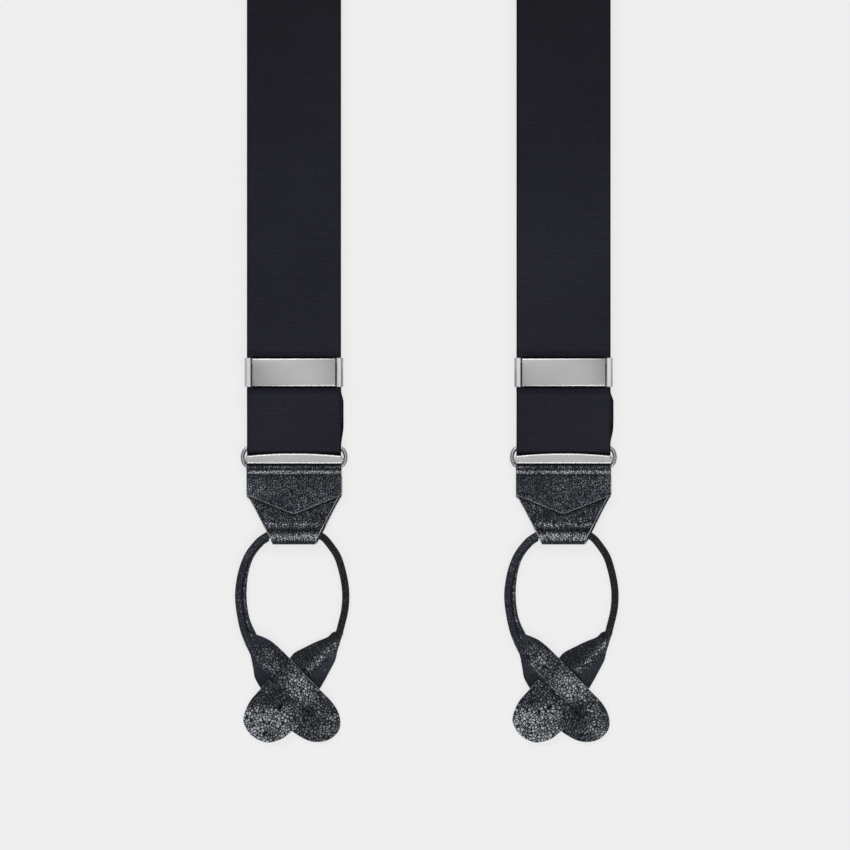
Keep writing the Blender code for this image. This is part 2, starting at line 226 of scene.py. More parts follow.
def leatherFinish(name, shine=1.0, relief=1.0, size=1.0):
    f = Finish(name)
    place = f.place()
    drift = f.noise(place, 420.0, 2.0)
    shake = f.noise(place, 520.0, 2.0, 1)
    moved = f.node("ShaderNodeVectorMath", {"operation": "MULTIPLY_ADD"}, [shake, (0.00052,) * 3, place])
    scale = 1.0 / (leather["pebble"] * size)
    gap = f.cells(moved, scale, "DISTANCE_TO_EDGE")
    hill = f.cells(moved, scale, "F1")
    tint = f.cells(moved, scale, "F1", 1)
    each = f.part(tint, 0)
    pebble = f.between(gap, 0.02, 0.20)
    fine = f.noise(place, 5200.0, 2.0)
    broad = f.noise(place, 130.0, 2.0)
    grain = f.painted("grain")
    highlightPatches = f.between(broad, 0.34, 0.66, 0.45, 1.15)
    # painted highlight: pebble tops shown bright in broad patches, as far as the painted 'shine' value asks
    cap = f.between(gap, 0.05, 0.21) * (each * 0.7 + 0.3)
    bright = cap * highlightPatches * f.painted("shine") * shine * (grain * 0.85 + 0.15)
    soft = 1 - grain
    cut = pebble * grain + soft
    # pebble creases painted near black as shade, tops lighter
    colour = f.mix(cut * (fine * 0.6 + 0.6), leather["crease"], leather["top"])
    colour = f.mix(f.between(bright, 0.05, 1.2), colour, leather["paintedHighlight"])
    # painted shade wherever the painted 'shade' value falls
    colour = f.mix(f.painted("shade"), (0.0012, 0.0014, 0.002), colour)
    height = (pebble * 0.55 + (1 - hill * 0.9) * 0.6) * relief * grain + fine * 0.10 + drift * 0.35
    return f.set(
        Base_Color=colour,
        Roughness=f.between(pebble * (1 - fine) * grain, 0.0, 0.8, 0.58, 0.38),
        Normal=f.bump(height, 0.85, 0.00042),
        Specular_IOR_Level=0.2,
    )


def edgeFinish(name):
    f = Finish(name)
    place = f.place()
    fibre = f.noise(place, 1900.0, 3.0)
    blot = f.noise(place, 240.0, 2.0)
    colour = f.mix(f.between(fibre + blot, 0.75, 1.3), (0.20, 0.215, 0.23), (0.50, 0.52, 0.54))
    return f.set(Base_Color=colour, Roughness=0.55, Normal=f.bump(fibre, 0.3, 0.0001), Specular_IOR_Level=0.3)


def threadFinish(name):
    f = Finish(name)
    ply = f.noise(f.place(), 4200.0, 2.0)
    colour = f.mix(f.between(ply, 0.35, 0.65), thread["dark"], thread["light"])
    return f.set(Base_Color=colour, Roughness=0.55, Normal=f.bump(ply, 0.5, 0.0001), Specular_IOR_Level=0.3)


nickel = {"base": (0.455, 0.450, 0.458), "rough": 0.34}


def nickelFinish(name, grain=(1.0, 14.0, 1.0), lift=1.0):
    f = Finish(name)
    place = f.place()
    brushed = f.noise(f.stretched(grain), 900.0, 3.0)
    cloud = f.noise(place, 60.0, 3.0)
    dots = f.noise(place, 3600.0, 1.0)
    base = tuple(c * lift for c in nickel["base"])
    dull = tuple(c * 0.93 for c in base)
    lit = tuple(min(1, c * 1.06) for c in base)
    colour = f.mix(f.between(cloud + brushed * 0.3, 0.45, 0.85), dull, lit)
    rough = f.between(brushed + dots * 0.4, 0.4, 1.0, nickel["rough"] - 0.05, nickel["rough"] + 0.07)
    return f.set(Base_Color=colour, Metallic=1.0, Roughness=rough,
                 Normal=f.bump(brushed + dots * 0.3, 0.05, 0.00005))


# near-black finish for the strips put where only shade falls beside the adjuster plate
def shadowStripFinish(name):
    f = Finish(name)
    scale = f.noise(f.place(), 1400.0, 3.0)
    colour = f.mix(f.between(scale, 0.35, 0.7), (0.001, 0.001, 0.0012), (0.004, 0.004, 0.0045))
    return f.set(Base_Color=colour, Roughness=f.between(scale, 0.3, 0.7, 0.75, 0.9),
                 Normal=f.bump(scale, 0.3, 0.00006), Specular_IOR_Level=0.1)


# makers of meshes, used by every piece
def newObject(name, mesh):
    obj = bpy.data.objects.new(name, mesh)
    bpy.context.scene.collection.objects.link(obj)
    return obj


def cleaned(mesh):
    bm = bmesh.new()
    bm.from_mesh(mesh)
    bmesh.ops.remove_doubles(bm, verts=bm.verts, dist=0.000001)
    bmesh.ops.recalc_face_normals(bm, faces=bm.faces)
    bm.to_mesh(mesh)
    bm.free()
    return mesh


def flattened(obj):
    bpy.context.view_layer.update()
    seen = obj.evaluated_get(bpy.context.evaluated_depsgraph_get())
    mesh = bpy.data.meshes.new_from_object(seen)
    obj.modifiers.clear()
    obj.data = mesh
    return obj


def rounded(mesh):
    for p in mesh.polygons:
        p.use_smooth = True


def dressed(mesh, mats):
    for m in mats:
        mesh.materials.append(m)
    return mesh


def merged(parts, name):
    # several pieces as one mesh, in their order; the pieces themselves go
    bm = bmesh.new()
    for part in parts:
        bm.from_mesh(part.data)
        bpy.data.objects.remove(part, do_unlink=True)
    mesh = bpy.data.meshes.new(name)
    bm.to_mesh(mesh)
    bm.free()
    return mesh


def sweep(name, rings, mats, uvs=None, closed=False):
    # rings: (n, k, 3) closed cross-sections, one after another
    n, k, _ = rings.shape
    uvs = uvs or [[(0, 0)] * k] * n
    verts = rings.reshape(-1, 3)
    faces, loopUv = [], []
    for i in range(n if closed else n - 1):
        a, b = i * k, ((i + 1) % n) * k
        for j in range(k):
            m = (j + 1) % k
            faces.append((a + j, a + m, b + m, b + j))
            loopUv += [uvs[i][j], uvs[i][m], uvs[(i + 1) % n][m], uvs[(i + 1) % n][j]]
    if not closed:
        faces.append(tuple(range(k - 1, -1, -1)))
        loopUv += [uvs[0][j] for j in range(k - 1, -1, -1)]
        faces.append(tuple((n - 1) * k + j for j in range(k)))
        loopUv += [uvs[-1][j] for j in range(k)]
    mesh = bpy.data.meshes.new(name)
    mesh.from_pydata([tuple(v) for v in verts], [], faces)
    layer = mesh.uv_layers.new(name="strip")
    layer.data.foreach_set("uv", np.array(loopUv, np.float32).ravel())
    rounded(cleaned(mesh))
    return newObject(name, dressed(mesh, mats))


def ringsAt(end, rings):
    rings = np.array(rings)
    return atEnd(end, rings).reshape(rings.shape)


def unit(rows):
    return rows / np.linalg.norm(rows, axis=1)[:, None]


def leftOf(loop):
    # a closed line's own left at each point
    d = unit(np.roll(loop, -1, axis=0) - np.roll(loop, 1, axis=0))
    return np.column_stack([-d[:, 1], d[:, 0]])


def runOf(points):
    # how far along the line each point is
    steps = np.linalg.norm(np.diff(np.array(points, float), axis=0), axis=1)
    return np.concatenate([[0], np.cumsum(steps)])


def alongPath(path, spacing):
    p = np.array(path, float)
    s = runOf(p)
    count = max(2, int(round(s[-1] / spacing)) + 1)
    t = np.linspace(0, s[-1], count)
    return np.column_stack([np.interp(t, s, p[:, c]) for c in range(p.shape[1])]), t


def eased(a, b, steps, y0, y1):
    t = np.linspace(0, 1, steps + 1)
    return [(y0 + (y1 - y0) * u, a + (b - a) * u * u * (3 - 2 * u)) for u in t]


def halfTurn(y, z, r, start, end, steps):
    t = np.radians(np.linspace(start, end, steps + 1))
    return [(y + r * math.cos(a), z + r * math.sin(a)) for a in t]


def webSection(half, thick, across=10):
    # a flat strip with soft round selvedges, as (u, h) going round
    r = thick / 2
    flat = half - r * 0.9
    top = [(u, r) for u in np.linspace(-flat, flat, across)]
    right = [(flat + r * 0.9 * math.sin(a), r * math.cos(a)) for a in np.radians([30, 60, 90, 120, 150])]
    bottom = [(u, -r) for u in np.linspace(flat, -flat, across)]
    left = [(-u, -h) for u, h in right]
    return np.array(top + right + bottom + left)


def webStrip(name, path, section, mats, bend=None, start=0.0):
    # path: (y, z) of the strip's middle; bend: (along, across) -> plan place
    p, s = path
    tangent = unit(np.gradient(p, axis=0))
    normal = np.column_stack([-tangent[:, 1], tangent[:, 0]])
    rings, uvs = [], []
    for i in range(len(p)):
        y = p[i, 0] + section[:, 1] * normal[i, 0]
        z = p[i, 1] + section[:, 1] * normal[i, 1]
        x = section[:, 0]
        if bend:
            x, y = bend(y, x)
        rings.append(np.column_stack([x, y, z]))
        uvs.append([(u * mm, (s[i] + start) * mm) for u in section[:, 0]])
    return sweep(name, np.array(rings), mats, uvs)


def inside(points, loop):
    x, y = points[:, 0], points[:, 1]
    hit = np.zeros(len(points), bool)
    for (x0, y0), (x1, y1) in zip(loop, np.roll(loop, -1, axis=0)):
        if y0 == y1:
            continue
        hit ^= ((y0 > y) != (y1 > y)) & (x < (x1 - x0) * (y - y0) / (y1 - y0) + x0)
    return hit


def nearLoop(points, loop):
    best = np.full(len(points), 1e9)
    for a, b in zip(loop, np.roll(loop, -1, axis=0)):
        d = b - a
        t = np.clip(((points - a) @ d) / max(d @ d, 1e-12), 0, 1)
        best = np.minimum(best, np.linalg.norm(points - a - t[:, None] * d, axis=1))
    return best


def polyLoop(points, spacing):
    made = []
    p = np.array(points, float)
    for a, b in zip(p, np.roll(p, -1, axis=0)):
        n = max(1, int(round(np.linalg.norm(b - a) / spacing)))
        made += [a + (b - a) * i / n for i in range(n)]
    return np.array(made)


def softSpan(p0, p1, p2, p3, spacing):
    # a smooth curve from p1 to just short of p2
    made = []
    k = max(2, int(round(np.linalg.norm(p2 - p1) / spacing)))
    for j in range(k):
        t = j / k
        made.append(0.5 * (2 * p1 + (p2 - p0) * t + (2 * p0 - 5 * p1 + 4 * p2 - p3) * t * t
                           + (3 * p1 - p0 - 3 * p2 + p3) * t ** 3))
    return made


def softLoop(points, spacing):
    # a smooth closed line through the points
    p = np.array(points, float)
    n = len(p)
    made = []
    for i in range(n):
        made += softSpan(p[i - 1], p[i], p[(i + 1) % n], p[(i + 2) % n], spacing)
    return np.array(made)


def softLine(points, spacing):
    # a smooth open line through the points
    p = np.array(points, float)
    p = np.vstack([2 * p[0] - p[1], p, 2 * p[-1] - p[-2]])
    made = []
    for i in range(1, len(p) - 2):
        made += softSpan(*p[i - 1:i + 3], spacing)
    return np.array(made + [p[-2]])


def cutSheet(name, outline, holes, spacing, lay, thick, mats, edge=0.3):
    # leather cut flat to an outline, then laid by lay(x, s) -> (x, y, z) in metres
    loops = [np.array(outline)] + [np.array(h) for h in holes]
    low, high = loops[0].min(0), loops[0].max(0)
    xs = np.arange(low[0], high[0], spacing)
    ys = np.arange(low[1], high[1], spacing * 0.866)
    grid = np.array([(x + (spacing / 2 if j % 2 else 0), y) for j, y in enumerate(ys) for x in xs])
    keep = inside(grid, loops[0]) & (nearLoop(grid, loops[0]) > spacing * 0.5)
    for h in loops[1:]:
        keep &= ~inside(grid, h) & (nearLoop(grid, h) > spacing * 0.35)
    grid = grid[keep]
    coords, edges = [], []
    for loop in loops:
        first = len(coords)
        coords += [tuple(c) for c in loop]
        edges += [(first + i, first + (i + 1) % len(loop)) for i in range(len(loop))]
    coords += [tuple(c) for c in grid]
    done = geometry.delaunay_2d_cdt([Vector(c) for c in coords], edges, [], 1, 1e-6)
    flat = np.array([tuple(v) for v in done[0]])
    faces = [tuple(f) for f in done[2]]
    for h in loops[1:]:
        middle = np.array([flat[list(f)].mean(0) for f in faces])
        gone = inside(middle, h)
        faces = [f for f, g in zip(faces, gone) if not g]
    mesh = bpy.data.meshes.new(name)
    mesh.from_pydata([tuple(c) for c in lay(flat[:, 0], flat[:, 1])], [], faces)
    loose = bmesh.new()
    loose.from_mesh(mesh)
    bmesh.ops.delete(loose, geom=[v for v in loose.verts if not v.link_faces], context="VERTS")
    bmesh.ops.recalc_face_normals(loose, faces=loose.faces)
    if sum(f.normal.z * f.calc_area() for f in loose.faces) < 0:
        bmesh.ops.reverse_faces(loose, faces=loose.faces)
    loose.to_mesh(mesh)
    loose.free()
    obj = newObject(name, dressed(mesh, mats))
    solid = obj.modifiers.new("thickness", "SOLIDIFY")
    solid.thickness = thick * mm
    solid.offset = 0
    solid.use_even_offset = True
    solid.material_offset_rim = 1
    bevel = obj.modifiers.new("edge", "BEVEL")
    bevel.width = edge * mm
    bevel.segments = 2
    bevel.limit_method = "ANGLE"
    bevel.angle_limit = math.radians(50)
    bevel.material = 1
    bevel.use_clamp_overlap = True
    rounded(flattened(obj).data)
    return obj


def put(obj, body, nodes):
    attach(obj, body)
    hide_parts(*nodes)
    return obj


def smooth(value, low, high):
    # 0 at low, 1 at high, soft at both
    t = np.clip((value - low) / (high - low), 0, 1)
    return t * t * (3 - 2 * t)


def swell(value, middle, width):
    # 1 at the middle, fading to both sides
    return np.exp(-((value - middle) / width) ** 2)


def spot(flat, x, y, wide, high):
    # a soft round patch
    return np.exp(-(((flat[:, 0] - x) / wide) ** 2 + ((flat[:, 1] - y) / high) ** 2))


def coordsOf(obj):
    co = np.empty(len(obj.data.vertices) * 3)
    obj.data.vertices.foreach_get("co", co)
    return co.reshape(-1, 3)


def setCoords(obj, co):
    obj.data.vertices.foreach_set("co", co.ravel())
    obj.data.update()
    return obj


def vertsOf(obj, end=None):
    # where the vertices are, in millimetres, and from the end's own ring if it is given
    co = coordsOf(obj) / mm
    if end:
        e = ends[end]
        co = np.column_stack([(co[:, 0] - e["x"]) * e["turn"], (co[:, 1] - e["y"]) * e["turn"], co[:, 2]])
    return co


# the straps: woven webbing, folded round the rings
strap = {
    "half": 18.0, "thick": 1.2, "bendFrom": 315.214, "bendRadius": 1985.15, "yokeAt": 650.0, "end": 672.0,
    "step": 2.2,
}
turned = {"from": 35.4, "radius": 1.3, "step": 0.7, "left": 0.9, "right": 1.2}  # round the adjuster's plate


def bendLine(side):
    def bend(y, x):
        w = x * -side
        turn = np.maximum(0, (y - strap["bendFrom"]) / strap["bendRadius"])
        across = strap["bendRadius"] * (1 - np.cos(turn)) + w * np.cos(turn)
        straight = np.minimum(y, strap["bendFrom"])
        along = straight + strap["bendRadius"] * np.sin(turn) - w * np.sin(turn)
        return across * -side, along
    return bend


# the turn round the ring's upper rail, as (y, z)
webFold = [tuple(p) for p in softLine([(3.4, 0.6), (1.9, 0.62), (0.75, 1.1), (0.38, 2.2), (0.75, 3.35),
                                       (1.9, 3.96), (3.4, 4.0)], 0.3)]


def frontWeb(name, side, mats):
    # over the adjuster's plate, down to the table, and up again into the yoke
    path = webFold + [(10, stack["run"])]
    path += eased(stack["run"], stack["over"], 8, 14.9, 20.9)
    path += eased(stack["over"], stack["bed"], 16, 196.3, 232.3)
    path += eased(stack["bed"], stack["low"], 6, 636, 648) + [(strap["end"], stack["low"])]
    return webStrip(name, alongPath(path, strap["step"]), webSection(strap["half"], strap["thick"]), mats,
                    bendLine(side))


def returnWeb(name, tail, mats, aside=0.0):
    def shift(y, x):  # lies a little aside, so that its edge shows
        return x + aside * smooth(y, 4, 12) * (1 - smooth(y, 21, 25.5)), y
    return webStrip(name, alongPath(tail, turned["step"]), webSection(strap["half"], strap["thick"]), mats,
                    shift, -5.3)


def moved(obj, end):
    # from the end's own millimetres to its place in the whole
    return setCoords(obj, atEnd(end, coordsOf(obj)))


print("webbing")
ribbed = webbingFinish("ribbedWebbing")
ribbedElastic = webbingFinish("ribbedElastic", 1.05)
for end, side in (("left", -1), ("right", 1)):
    run = moved(frontWeb(end + "_front_webbing", side, [ribbed]), end)
    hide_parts(end + "_strap")
    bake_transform(run)

    wrap = halfTurn(turned["from"], stack["plate"], turned["radius"], -90, 90, 10)
    tail = [webFold[0], (turned["from"] - 3, stack["bed"])] + wrap + [(26.9, stack["tail"])]
    tail += eased(stack["tail"], stack["low"], 6, 26.5, 20.9) + [(13, stack["low"])]
    back = moved(returnWeb(end + "_return_webbing", tail, [ribbed], turned[end]), end)
    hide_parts(end + "_strap_return")
    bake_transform(back)

backPath = webFold + [(8, stack["run"])] + eased(stack["run"], stack["low"], 8, 10, 18)
backPath += eased(stack["low"], stack["bed"], 6, 32, 40) + [(60, stack["bed"]), (92, stack["bed"])]
backPath += eased(stack["bed"], stack["low"], 6, 96, 103) + [(147, stack["low"])]
elastic = moved(webStrip("back_elastic_webbing", alongPath(backPath, 1.6),
                         webSection(strap["half"], strap["thick"]), [ribbedElastic]), "back")
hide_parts("back_strap")
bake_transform(elastic)

under = moved(returnWeb("back_return_webbing", [webFold[0], (30, stack["bed"])], [ribbedElastic]), "back")
put(under, "back_return", ["back_strap_return"])


# stitches: short beads laid along a row
thread = {
    "pitch": 2.25, "length": 1.75, "radius": 0.24,
    "dark": (0.004, 0.011, 0.024), "light": (0.018, 0.042, 0.085),
}


def stitchTree(mat):
    tree = bpy.data.node_groups.new("stitchRow", "GeometryNodeTree")
    sockets = tree.interface
    sockets.new_socket("Path", in_out="INPUT", socket_type="NodeSocketGeometry")
    wanted = {}
    for label in ("Pitch", "Length", "Radius"):
        s = sockets.new_socket(label, in_out="INPUT", socket_type="NodeSocketFloat")
        s.default_value = thread[label.lower()] * mm
        wanted[label] = s.identifier
    sockets.new_socket("Stitches", in_out="OUTPUT", socket_type="NodeSocketGeometry")
    new, link = tree.nodes.new, tree.links.new
    given, made = new("NodeGroupInput"), new("NodeGroupOutput")
    curve = new("GeometryNodeMeshToCurve")
    spaced = new("GeometryNodeResampleCurve")
    spaced.mode = "LENGTH"
    tangent = new("GeometryNodeInputTangent")
    aim = new("FunctionNodeAlignRotationToVector")
    aim.axis = "X"
    bead = new("GeometryNodeMeshUVSphere")
    bead.inputs["Segments"].default_value = 8
    bead.inputs["Rings"].default_value = 6
    bead.inputs["Radius"].default_value = 1.0
    size = new("ShaderNodeCombineXYZ")
    half = new("ShaderNodeMath")
    half.operation = "MULTIPLY"
    half.inputs[1].default_value = 0.5
    placed = new("GeometryNodeInstanceOnPoints")
    real = new("GeometryNodeRealizeInstances")
    painted = new("GeometryNodeSetMaterial")
    painted.inputs["Material"].default_value = mat
    link(given.outputs["Path"], curve.inputs[0])
    link(curve.outputs[0], spaced.inputs["Curve"])
    link(given.outputs["Pitch"], spaced.inputs["Length"])
    link(spaced.outputs[0], placed.inputs["Points"])
    link(bead.outputs[0], placed.inputs["Instance"])
    link(tangent.outputs[0], aim.inputs["Vector"])
    link(aim.outputs[0], placed.inputs["Rotation"])
    link(given.outputs["Length"], half.inputs[0])
    link(half.outputs[0], size.inputs[0])
    link(given.outputs["Radius"], size.inputs[1])
    link(given.outputs["Radius"], size.inputs[2])
    link(size.outputs[0], placed.inputs["Scale"])
    link(placed.outputs[0], real.inputs[0])
    link(real.outputs[0], painted.inputs[0])
    link(painted.outputs[0], made.inputs[0])
    return tree, wanted


stitches, stitchInputs = stitchTree(threadFinish("blueThread"))


def sewn(name, body, end, rows):
    verts, edges = [], []
    for row in rows:
        row = atEnd(end, row) if end else np.array(row) * mm
        first = len(verts)
        verts += [tuple(p) for p in row]
        edges += [(first + i, first + i + 1) for i in range(len(row) - 1)]
    mesh = bpy.data.meshes.new(name)
    mesh.from_pydata(verts, edges, [])
    obj = newObject(name, mesh)
    beads = obj.modifiers.new("stitches", "NODES")
    beads.node_group = stitches
    for label in ("Pitch", "Length", "Radius"):
        beads[stitchInputs[label]] = thread[label.lower()] * mm
    rounded(flattened(obj).data)
    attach(obj, body)


def stitchLine(a, b, z, count):
    return np.column_stack([np.linspace(a[0], b[0], count), np.linspace(a[1], b[1], count),
                            np.full(count, z)])


def pull(x, deep, pitch=thread["pitch"]):
    # how hard the stitches pull the leather in along a row
    return 1 - deep + deep * np.cos(2 * math.pi * x / pitch)


def nearLine(points, line):
    # signed distance from an open line; positive to its left as it runs
    best = np.full(len(points), 1e9)
    sign = np.ones(len(points))
    for a, b in zip(line[:-1], line[1:]):
        d = b - a
        t = np.clip(((points - a) @ d) / (d @ d), 0, 1)
        off = points - a - t[:, None] * d
        dist = np.linalg.norm(off, axis=1)
        cross = d[0] * (points[:, 1] - a[1]) - d[1] * (points[:, 0] - a[0])
        nearer = dist < best
        best = np.where(nearer, dist, best)
        sign = np.where(nearer, np.where(cross >= 0, 1.0, -1.0), sign)
    return best * sign


def paint(obj, **values):
    # a value for each vertex that its leather reads
    for name, value in values.items():
        layer = obj.data.attributes.new(name, "FLOAT", "POINT")
        layer.data.foreach_set("value", np.asarray(value, np.float32))


# the leather cover, folded over the ring's lower rail
pebbled = leatherFinish("pebbledLeather", 1.0, 1.0, 0.88)
burnished = edgeFinish("burnishedEdge")
cover = {
    "half": 18.2, "shoulder": -14.4, "point": -21.7, "roll": 1.65, "rail": -3.4, "back": -16.0,
    "thick": 1.1, "grid": 0.5, "rowOne": -4.75, "rowTwo": -6.75, "groove": 0.3,
}
coverSeam = np.array([(-16.0, -6.75), (-16.0, -13.2), (0.0, -19.6), (15.7, -13.2), (15.7, -6.75)])


def coverPath(s):
    # s runs up the front, over the rail and down the back
    rail, r = cover["rail"], cover["roll"]
    turn = math.pi * r
    t = np.clip((s - rail) / r, 0, math.pi)
    v = np.where(s < rail, s, np.where(s < rail + turn, rail + r * np.sin(t), rail - (s - rail - turn)))
    z = stack["rail"] + r * np.cos(t)
    return v, z


def makeCover(end):
    c = cover
    last = c["rail"] + math.pi * c["roll"] + (c["rail"] - c["back"])
    outline = polyLoop([(-c["half"], c["shoulder"]), (-0.7, c["point"] + 0.25), (0.7, c["point"] + 0.25),
                        (c["half"], c["shoulder"]), (c["half"], last - 0.8), (c["half"] - 0.8, last),
                        (-c["half"] + 0.8, last), (-c["half"], last - 0.8)], c["grid"])

    def lay(x, s):
        v, z = coverPath(s)
        front = s < c["rail"]
        p = np.column_stack([x, s])
        dip = c["groove"] * swell(nearLine(p, coverSeam), 0, 0.55) * pull(x + s, 0.35)
        dip += 0.34 * swell(s, c["rowOne"], 0.5) * pull(x, 0.35)
        dip += 0.36 * swell(s, c["rowTwo"], 0.55) * pull(x, 0.35)
        dip += 0.16 * swell(nearLoop(p, outline), 0, 0.9)
        puff = 0.10 * np.sin(x * 0.31 + 0.6) * np.sin(s * 0.27 + 1.1)
        return atEnd(end, np.column_stack([x, v, z - (dip - puff) * front]))

    obj = cutSheet(end + "_cover", outline, [], c["grid"], lay, c["thick"], [pebbled, burnished], 0.42)
    co = vertsOf(obj, end)
    x, y, z = co.T
    # painted highlights along the ridge, the roll over the rail and the seam's border; painted shade in the
    # stitch rows and under the face bar
    ridge = swell(y, -5.7, 0.5) * (z > 3.5)
    roll = swell(y, -3.75, 0.3) * (z > 3.5)
    rows = swell(y, c["rowOne"], 0.4) + swell(y, -6.8, 0.45)
    shade = (1 - 0.75 * rows) * smooth(-y, 3.0, 3.6)
    shade = np.where(z > 3.2, shade, 1)
    border = smooth(4.2 - np.abs(nearLine(co[:, :2], coverSeam)), 0, 4)
    paint(obj, shine=0.48 + 5.2 * ridge + 1.2 * roll * pull(x, 0.4) + 0.15 * border, grain=np.ones(len(co)),
          shade=shade)
    return put(obj, end + "_leather", [end + "_leather_cover"])


# the tapering leather, folded round the rolled loop
taper = {"thick": 0.8, "grid": 0.45, "seam": -26.2, "pitch": 2.1}
# its middle as (y, z): along above, round the loop, and back below
taperLine = softLine([(-5, 2.65), (-15, 2.65), (-23.6, 2.65), (-26.2, 2.45), (-27.6, 3.3), (-28.8, 4.25),
                      (-30.3, 4.75), (-31.8, 4.4), (-32.75, 3.5), (-33.0, 2.4), (-32.5, 1.25), (-31.2, 0.6),
                      (-29.5, 0.45), (-27.7, 0.75), (-26.2, 1.65), (-23.6, 1.85), (-15, 1.85),
                      (-7, 1.85)], 0.3)
# its half width at each y
taperHalf = np.array([(-5, 18.0), (-14.4, 18.0), (-20.3, 14.7), (-24.1, 12.75), (-28, 10.75), (-31, 9.2),
                      (-33, 8.3)])


def makeTaper(end):
    line, run = taperLine, runOf(taperLine)
    fold = run[np.argmin(line[:, 0])]
    left, right = [], []
    for v, s in list(zip(line[:, 0], run))[::2]:
        half = np.interp(-v, -taperHalf[:, 0], taperHalf[:, 1])
        under = smooth(s, fold - 1, fold + 3)
        right.append((half * (1 - 0.03) + 0.95 * under, s))
        left.append((-half - 0.1 * under, s))
    outline = polyLoop(right + left[::-1], taper["grid"])

    def lay(x, s):
        v = np.interp(s, run, line[:, 0])
        z = np.interp(s, run, line[:, 1])
        top = s < fold
        row = swell(v, taper["seam"], 0.6) * pull(x, 0.4, taper["pitch"])
        z = z - np.where(top, 1, -1) * 0.12 * row
        z = z + np.where(top, 0.12, 0) * np.sin(x * 1.9 + 0.5) * swell(v, -30.2, 1.6)
        return atEnd(end, np.column_stack([x, v, z]))

    obj = cutSheet(end + "_taper", outline, [], taper["grid"], lay, taper["thick"], [pebbled, burnished],
                   0.22)
    x, y, z = vertsOf(obj, end).T
    # painted highlights on the roll's crest and along the seam; painted shade under the cover's edge, at the
    # foot of the roll and on the layer below
    ridge = swell(y, -30.6, 1.1) * (z > 3)
    seam = swell(y, -26.0, 0.7) * (z > 2)
    under = z < 2.2
    tuckShade = 0.7 * swell(y, -28.0, 0.8) * (z > 2.2)
    vee = cover["point"] + 7.3 * np.abs(x) / cover["half"]  # where the cover's edge lies on it
    tuckShade = np.maximum(tuckShade, 0.85 * smooth(y, vee - 1.3, vee - 0.1))
    tuckShade = np.maximum(tuckShade, 0.75 * smooth(-y, 31.6, 32.4))
    paint(obj, shine=(0.46 + 3.6 * ridge + 1.5 * seam) * (1 - 0.8 * under), grain=np.ones(len(x)),
          shade=(1 - tuckShade) * (1 - 0.6 * under))
    return put(obj, end + "_leather", [end + "_leather_tab"])


# the rolled loop and its two button tabs
loopCut = {"cord": 1.45, "thick": 1.15, "grid": 0.5, "voxel": 0.28, "low": 0.95, "high": 2.75}
# the middle of the rolled leather: left side, top and right side
loopLine = [
    (-11.2, -30.6, 2.7), (-13.9, -32.7, 2.4), (-17.6, -37.6, 2.0), (-19.95, -43.7, 1.8), (-21.05, -49.7, 1.8),
    (-21.25, -53.9, 1.8), (-20.85, -58.2, 1.8), (-19.8, -64.0, 1.85), (-18.3, -69.0, 1.9),
    (-16.2, -73.6, 1.9), (-13.2, -78.0, 1.75), (-9.5, -82.4, 1.5),
]
loopTop = [(-8.4, -29.3, 2.75), (-4, -29.25, 2.75), (0, -29.2, 2.75), (4, -29.25, 2.75), (8.2, -29.3, 2.75)]
loopRight = [
    (11.0, -30.6, 2.7), (13.2, -32.9, 2.4), (16.4, -37.6, 2.0), (18.2, -42.8, 1.8), (19.45, -48.8, 1.8),
    (19.75, -53.9, 1.8), (19.3, -58.9, 1.8), (17.95, -64.6, 1.85), (16.6, -69.4, 1.9), (14.8, -73.0, 1.85),
    (11.9, -75.8, 1.7), (8.4, -79.2, 1.3),
]
# the outlines of the two tabs
tabA = [
    (-20.2, -66.8), (-17.6, -66.9), (-14.0, -67.9), (-8.5, -70.5), (-1.6, -76.9), (4.3, -83.3), (9.8, -88.8),
    (15.0, -94.3), (17.5, -99.5), (17.1, -104.6), (12.8, -108.4), (6.4, -108.8), (0.1, -105.6),
    (-3.0, -102.3), (-6.0, -98.3), (-9.5, -93.3), (-12.9, -88.4), (-15.1, -84.4), (-15.8, -80.3),
    (-16.5, -76.1), (-18.7, -71.3),
]
tabB = [
    (18.7, -66.8), (15.0, -66.9), (12.8, -68.8), (8.6, -70.5), (4.3, -72.6), (0.1, -74.8), (-1.8, -76.9),
    (-8.5, -83.4), (-12.7, -88.4), (-17.0, -93.5), (-19.3, -98.9), (-19.1, -102.4), (-16.1, -106.7),
    (-10.6, -109.2), (-5.1, -108.0), (-1.3, -105.2), (1.0, -103.4), (2.3, -101.2), (3.6, -98.0), (5.6, -94.6),
    (10.1, -88.2), (14.5, -80.3), (15.9, -77.3), (16.6, -73.9), (17.8, -70.0),
]
# where A's edge crosses over B, the fold beside it, and the ridge down B
crossing = np.array([(-22.0, -69.0), (-17.4, -73.9), (-12.7, -79.0), (-8.5, -83.5), (-2.5, -91.4),
                     (1.7, -94.2), (5.2, -97.0)])
foldA = crossing[:5]
ridgeB = np.array([(15.5, -71.5), (12.4, -74.7), (8.6, -78.5), (5.5, -81.6), (0.0, -87.0)])


def heightA(x, v):
    p = np.column_stack([x, v])
    d = nearLine(p, crossing)
    low, high = loopCut["low"], loopCut["high"]
    lobe = smooth(-v, 90.5, 100.0)
    upper = low + (high - low) * smooth(d, -3.2, 0.3)
    sharp = low + (high - low) * smooth(d, -0.8, 0.9)
    z = np.where(v > -85, upper, upper + (sharp - upper) * smooth(-v, 85, 90))
    z = z + (1.25 - z) * lobe * smooth(d, 0.5, 3.5)
    return z + 0.12 * np.sin(x * 0.42 + 1.0) * np.sin(v * 0.35)


